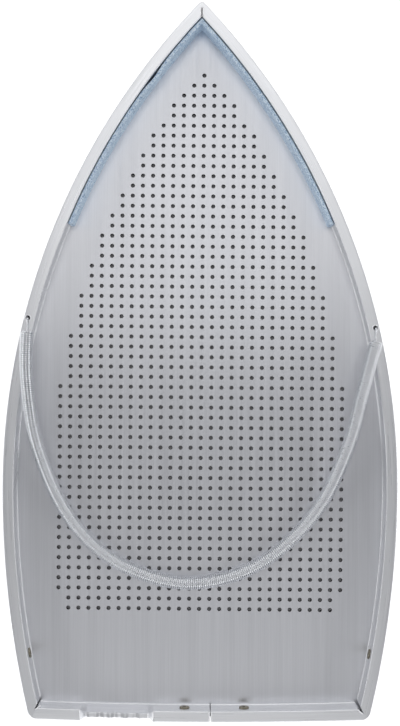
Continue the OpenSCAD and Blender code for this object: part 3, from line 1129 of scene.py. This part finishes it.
@dataclass
class Spring:
    """The close-wound tension spring: a real helix of wire along its bow, with a hook at each end."""

    left_pivot: np.ndarray
    right_pivot: np.ndarray
    rim_top: float
    plate_top: float
    finish: DrawnSteel
    bow_y: float = -71.6
    clearance: float = 0.15
    coil_r: float = 2.25
    wire_r: float = 0.325
    hook_r: float = 2.0
    hook_straight: float = 2.3
    level: float = 17.0
    fall: float = 52.0
    steps_per_turn: int = 18
    wire_sides: int = 8
    bow: tuple = (
        (0, 0), (0, 0.19), (0.03, 0.46), (0.112, 0.73), (0.242, 0.908), (0.42, 0.997),
        (0.577, 0.978), (0.72, 0.876), (0.845, 0.685), (0.922, 0.435), (0.96, 0.218), (1, 0),
    )

    def lying_on(self, height: float) -> float:
        """Height of the coil's middle where the coil lies just clear of a face at a height."""
        return height + self.clearance + self.coil_r

    def centre_line(self) -> np.ndarray:
        """Draws the middle of the coil as a Catmull-Rom curve through the bow's points.

        Between b and c, with neighbours a and d, the curve is half of 2b + t (c - a) +
        t^2 (2a - 5b + 4c - d) + t^3 (3b - 3c + d - a). Its height falls from the rim's level to the
        plate's as half a cosine wave of its length from the nearer hook.

        Returns:
            Points in mm, evenly spaced.
        """
        start = np.array([self.left_pivot[0], self.left_pivot[1] - self.hook_straight])
        stop = np.array([self.right_pivot[0], self.right_pivot[1] - self.hook_straight])
        share = np.array(self.bow)
        first = start + share[:, :1] * (stop - start)
        knots = np.column_stack([first[:, 0], first[:, 1] + share[:, 1] * (self.bow_y - first[:, 1])])
        padded = np.concatenate([knots[:1], knots, knots[-1:]])
        t = np.linspace(0, 1, 48, endpoint=False)[None, :, None]
        a, b, c, d = (padded[i : len(padded) - 3 + i, None, :] for i in range(4))
        square, cube = 2 * a - 5 * b + 4 * c - d, 3 * b - 3 * c + d - a
        curve = 0.5 * (2 * b + t * (c - a) + t**2 * square + t**3 * cube)
        plan = np.concatenate([curve.reshape(-1, 2), knots[-1:]])
        length = np.concatenate([[0], np.cumsum(np.linalg.norm(np.diff(plan, axis=0), axis=1))])
        from_end = np.minimum(length, length[-1] - length)
        t = np.clip((from_end - self.level) / self.fall, 0, 1)
        high, low = self.lying_on(self.rim_top), self.lying_on(self.plate_top)
        z = high + (low - high) * (1 - np.cos(math.pi * t)) / 2
        path = np.column_stack([plan, z])
        walked = np.concatenate([[0], np.cumsum(np.linalg.norm(np.diff(path, axis=0), axis=1))])
        even = np.linspace(0, walked[-1], 1200)
        return np.column_stack([np.interp(even, walked, path[:, k]) for k in range(3)])

    def helix(self) -> tuple[np.ndarray, np.ndarray]:
        """Winds the wire: W = C + r (cos p U + sin p V), with U level and V square to it and the bow.

        The phase p starts and ends at the coil's underside, and there r draws in to the hook's wire.

        Returns:
            The wire's points and its direction away from the coil's middle at each.
        """
        centre = self.centre_line()
        walked = np.concatenate([[0], np.cumsum(np.linalg.norm(np.diff(centre, axis=0), axis=1))])
        turns = round(walked[-1] / (2 * self.wire_r))
        s = np.linspace(0, walked[-1], turns * self.steps_per_turn + 1)
        middle = np.column_stack([np.interp(s, walked, centre[:, k]) for k in range(3)])
        way = np.gradient(centre, axis=0)
        way /= np.linalg.norm(way, axis=1, keepdims=True)
        way = np.column_stack([np.interp(s, walked, way[:, k]) for k in range(3)])
        level = np.cross(way, [0, 0, 1])
        level /= np.linalg.norm(level, axis=1, keepdims=True)
        over = np.cross(level, way)
        phase = 2 * math.pi * turns * s / walked[-1] - math.pi / 2
        out = np.cos(phase)[:, None] * level + np.sin(phase)[:, None] * over
        hook_drop = self.lying_on(self.rim_top) - (self.left_pivot[2] + self.hook_r)
        t = np.clip(np.minimum(s, walked[-1] - s) / (1.6 * self.wire_r), 0, 1)
        r = hook_drop + (self.coil_r - self.wire_r - hook_drop) * t * t * (3 - 2 * t)
        return middle + r[:, None] * out, out

    def hook(self, pivot: np.ndarray) -> tuple[np.ndarray, np.ndarray]:
        """Bends a hook: pivot + r (0, cos a, sin a), from under the web up to the coil's wire.

        Args:
            pivot: Middle of the hook's circle.

        Returns:
            The wire's points, from its tip to the coil, and the direction towards the middle.
        """
        a = np.radians(np.linspace(-45, 90, 26))[:, None]
        arm = np.hstack([np.zeros_like(a), np.cos(a), np.sin(a)])
        arc = pivot + self.hook_r * arm
        y = np.linspace(0, -self.hook_straight, 8)[1:-1, None]
        straight = pivot + np.hstack([np.zeros_like(y), y, np.full_like(y, self.hook_r)])
        down = np.tile([0.0, 0.0, -1.0], (len(y), 1))
        return np.concatenate([arc, straight]), np.concatenate([-arm, down])

    def build(self) -> bpy.types.Object:
        """Makes the spring and hangs it on its hinge.

        Returns:
            The spring.
        """
        coil, out = self.helix()
        first, first_in = self.hook(self.left_pivot)
        last, last_in = self.hook(self.right_pivot)
        path = np.concatenate([first, coil, last[::-1]])
        inward = np.concatenate([first_in, out, last_in[::-1]])
        steel = self.finish.build()
        wire = sweep_tube("tension_spring", path, inward, self.wire_r, self.wire_sides, steel)
        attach(wire, SPRING_BODY)
        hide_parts("spring")
        return wire


@dataclass
class FoamStrip:
    """The blue foam strip inside the nose: one limb runs over the apex, the other starts beneath it."""

    plan: Outline
    plate_top: float
    finish: SpeckledFoam
    thickness: float = 1.2
    height: float = 9.0
    inset: float = 3.95
    lean: float = 0.12
    tuck: float = 0.25
    reach: float = 71.0
    corner_r: float = 0.3
    steps: int = 260
    loose_by: float = 0.5
    loose_y: float = 91.3
    loose_length: float = 3.4

    def section(self) -> np.ndarray:
        """Draws the strip's section: how far in from its outer face first, height second.

        Returns:
            The open outline from the outer foot over the top to the inner foot.
        """
        t, h, r = self.thickness, self.height, self.corner_r
        a = np.radians(np.linspace(0, 90, 5))
        corner = r * np.column_stack([np.cos(a), np.sin(a)])
        outer = corner[::-1] * [-1, 1]
        across = np.linspace(r, t - r, 6)[1:-1]
        return np.concatenate(
            [
                [[0, 0], [0, h / 2]],
                outer[::-1] + [r, h - r],
                np.column_stack([across, np.full(len(across), h)]),
                corner[::-1] + [t - r, h - r],
                [[t, h / 2], [t, 0]],
            ]
        )

    def limb(self, name: str, side: int, stop: float) -> bpy.types.Object:
        """Makes one limb: each point of the section runs along its own inset of the side's arc.

        Every point starts where its curve meets the face that the limb butts against. The top leans
        towards the rim, its crest waves a little, and the left limb stands off the rim as a bell
        curve exp(-((y - y0) / l)^2) where it has come loose.

        Args:
            name: The object's name.
            side: -1 for the left limb, 1 for the right one.
            stop: Inset of the other side's face that the limb butts against.

        Returns:
            The limb.
        """
        section = self.section()
        deep, high = section[:, 0] + self.inset, section[:, 1]
        share = np.linspace(0, 1, self.steps)[:, None]
        start = self.plan.crossing(deep, stop)[None, :]
        y = start + share * (self.plan.length / 2 - self.reach - start)
        loose = self.loose_by * np.exp(-(((y - self.loose_y) / self.loose_length) ** 2)) * (side < 0)
        lift = high[None, :] / self.height
        x = self.plan.side_x(y, deep[None, :] + (loose - self.lean) * lift)
        wave = (0.07 * np.sin(y * 0.9 + side) + 0.05 * np.sin(y * 2.3 + 2 * side) - 0.1) * lift
        points = np.dstack([side * x, y, self.plate_top + high[None, :] + wave])
        n = len(section)
        quads = grid_quads(self.steps, n, False, True)
        obj = new_object(name, points.reshape(-1, 3), quads, self.finish.build())
        close_ends(obj, [np.arange(n), np.arange(n) + (self.steps - 1) * n])
        smooth_up_to(obj, 50)
        return obj

    def build(self) -> bpy.types.Object:
        """Makes both limbs and seats them in the pan.

        Returns:
            The left limb.
        """
        left = self.limb("foam_strip_left", -1, self.inset - self.tuck)
        right = self.limb("foam_strip_right", 1, self.inset + self.thickness - self.tuck)
        for limb in (left, right):
            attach(limb, SHOE_BODY)
            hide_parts("nose_strip")
        return left


@dataclass
class Studio:
    """The plain floor, the soft lights and the camera above the shoe."""

    floor_half: float = 3000.0
    floor_z: float = -0.02
    card_z: float = -0.01
    camera_height: float = 461.7
    camera_x: float = -0.158
    camera_y: float = -0.320
    roll: float = 0.2385
    focal_px: float = 1408.98
    image_height_px: float = 726.0
    sensor: float = 36.0
    card_inset: float = 4.0
    card_steps: int = 60
    base: float = 0.36
    base_colour: str = "#F6F7FA"
    panel_height: float = 1.0
    panels: tuple = (
        ("panel_nose", 0.02, 0.9, 0.5, 0.92),
        ("panel_far_nose", 1.0, 2.6, 0.5, 1.4),
        ("panel_heel", -0.9, -0.2, 0.5, 0.30),
        ("panel_far_heel", -2.6, -1.0, 0.5, 2.6),
    )
    strip_distance: float = 0.9
    strip_length: float = 4.0
    strip_width: float = 0.3
    strips: tuple = (("strip_left", -60.0, 1.7), ("strip_right", 60.0, 1.7))

    def build_floor(self, plan: Outline) -> None:
        """Lays the lit sheet under the sole, and a card on it that keeps light out of the holes.

        Args:
            plan: The shoe's outline, which the card follows a little further in.
        """
        h = self.floor_half
        points = np.array([[x, y, self.floor_z] for x, y in ((-h, -h), (h, -h), (h, h), (-h, h))])
        sheet = OpalAcrylic("acrylic_opal_lit", "#F4F4F4").build()
        new_object("studio_floor", points, np.array([[0, 1, 2, 3]]), sheet)
        nose = float(plan.crossing(self.card_inset, self.card_inset))
        y = np.linspace(self.card_inset - plan.length / 2, nose, self.card_steps)
        x = plan.side_x(y, self.card_inset)
        edge = np.stack([np.column_stack([side * x, y, np.full_like(y, self.card_z)]) for side in (-1, 1)], 1)
        card = OpalAcrylic("paper_white_card", "#EFEFF0", 0.0).build()
        quads = grid_quads(self.card_steps, 2, False, False)
        new_object("studio_card", edge.reshape(-1, 3), quads, card)

    def add_light(self, name: str, place: tuple, aim: tuple, size: tuple, radiance: float) -> None:
        """Hangs a rectangular soft light: its power is pi times its area times its radiance.

        Args:
            name: The light's name.
            place: Its middle in metres.
            aim: The point that it faces, in metres.
            size: Its two sides in metres, the first across the shoe where it faces down.
            radiance: How bright its face is.
        """
        data = bpy.data.lights.new(name, "AREA")
        data.shape, data.size, data.size_y = "RECTANGLE", size[0], size[1]
        data.energy = math.pi * size[0] * size[1] * radiance
        lamp = bpy.data.objects.new(name, data)
        lamp.location = place
        lamp.rotation_euler = (Vector(aim) - Vector(place)).to_track_quat("-Z", "Y").to_euler()
        bpy.context.scene.collection.objects.link(lamp)

    def build_lights(self) -> None:
        """Sets the world's even light, the panels overhead and the narrow strips along the shoe."""
        world = bpy.data.worlds.new("studio")
        world.use_nodes = True
        sky = world.node_tree.nodes["Background"]
        sky.inputs["Color"].default_value = linear(self.base_colour)
        sky.inputs["Strength"].default_value = self.base
        bpy.context.scene.world = world
        for name, start, stop, width, radiance in self.panels:
            middle, size = (start + stop) / 2, (width, stop - start)
            self.add_light(name, (0, middle, self.panel_height), (0, middle, 0), size, radiance)
        for name, degrees, radiance in self.strips:
            turn, size = math.radians(degrees), (self.strip_length, self.strip_width)
            place = (self.strip_distance * math.sin(turn), 0.0, self.strip_distance * math.cos(turn))
            self.add_light(name, place, (0, 0, 0), size, radiance)

    def build_camera(self) -> None:
        """Hangs the camera over the shoe, looking straight down."""
        data = bpy.data.cameras.new("overhead")
        data.sensor_fit, data.sensor_height = "VERTICAL", self.sensor
        data.lens = self.focal_px * self.sensor / self.image_height_px
        data.clip_start, data.clip_end = 0.01, 20.0
        camera = bpy.data.objects.new("overhead", data)
        camera.location = np.array([self.camera_x, self.camera_y, self.camera_height]) * MM
        camera.rotation_euler = (0.0, 0.0, math.radians(self.roll))
        bpy.context.scene.collection.objects.link(camera)
        bpy.context.scene.camera = camera
        bpy.context.scene.view_settings.view_transform = "Standard"


def dress_node(name: str, material: bpy.types.Material) -> None:
    """Gives a CAD node its finish.

    Args:
        name: The node's name.
        material: The material that all its faces take.
    """
    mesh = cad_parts[name].data
    mesh.materials.clear()
    mesh.materials.append(material)


def height_of(node: str, end: int) -> float:
    """Lowest (0) or highest (1) point of a CAD node, in mm."""
    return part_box(node)[end].z / MM


def main() -> None:
    """Builds the shoe's pieces in order and reports each."""
    logging.basicConfig(level=logging.INFO, format="%(message)s")
    low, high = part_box("frame")
    plan = Outline(length=(high.y - low.y) / MM, width=(high.x - low.x) / MM)
    plate_top, rim_top = height_of("base_plate", 1), height_of("frame", 1)
    studio = Studio()
    studio.build_camera()
    studio.build_lights()
    studio.build_floor(plan)

    rim_finish = BrushedAluminium(
        "aluminium_brushed_strip", "#EFF0F2", "#E4E5E8", Grain.ALONG_STRIP, smooth=0.26, stretch=0.55
    )
    torn_finish = TornAluminium("aluminium_torn_edge", "#FCFCFD", "#F2F3F5")
    rim = Rim(plan, rim_top, plate_top, rim_finish, torn_finish)
    LOG.info("rim: %d faces", len(rim.build().data.polygons))

    # The plate's upright faces, chiefly the hole walls, get the painted shade #9A9A9E.
    plate_finish = BrushedAluminium(
        "aluminium_brushed_sheet", "#E7E8EC", "#DFE0E4", Grain.ALONG_SHOE, wall_shade="#9A9A9E"
    )
    dress_node("base_plate", plate_finish.build())
    dress_node("sole_sheet", SinteredPtfe("ptfe_skived_graphite", "#4E4E51", "#3A3A3D").build())
    dress_node("joint_bridge", DrawnSteel("steel_rolled_strip", "#B8B8B8", "#8E8E8C", 3.0, 0.4).build())
    dress_node("rivets", DrawnSteel("steel_headed_rivet", "#A09A8A", "#6E695C", 0.8, 0.3).build())
    LOG.info("plates, bridge and rivets dressed")

    foam = SpeckledFoam("silicone_foam_blue", "#DCE9F4", "#B6CCE1", "#5F80A6")
    strip = FoamStrip(plan, plate_top, foam)
    LOG.info("foam strip: %d faces a limb", len(strip.build().data.polygons))

    axis_z = rim_top - rim.thickness / 2
    left, right = (np.array([x, y - rim.hook_ahead, axis_z]) for x, y in rim.hook_holes())
    steel = DrawnSteel("steel_drawn_spring_wire", "#E4E6E9", "#D4D6DA", 0.6, 0.18)
    spring = Spring(left, right, rim_top, plate_top, steel)
    LOG.info("spring: %d faces", len(spring.build().data.polygons))


if __name__ == "__main__":
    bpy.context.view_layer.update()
    main()
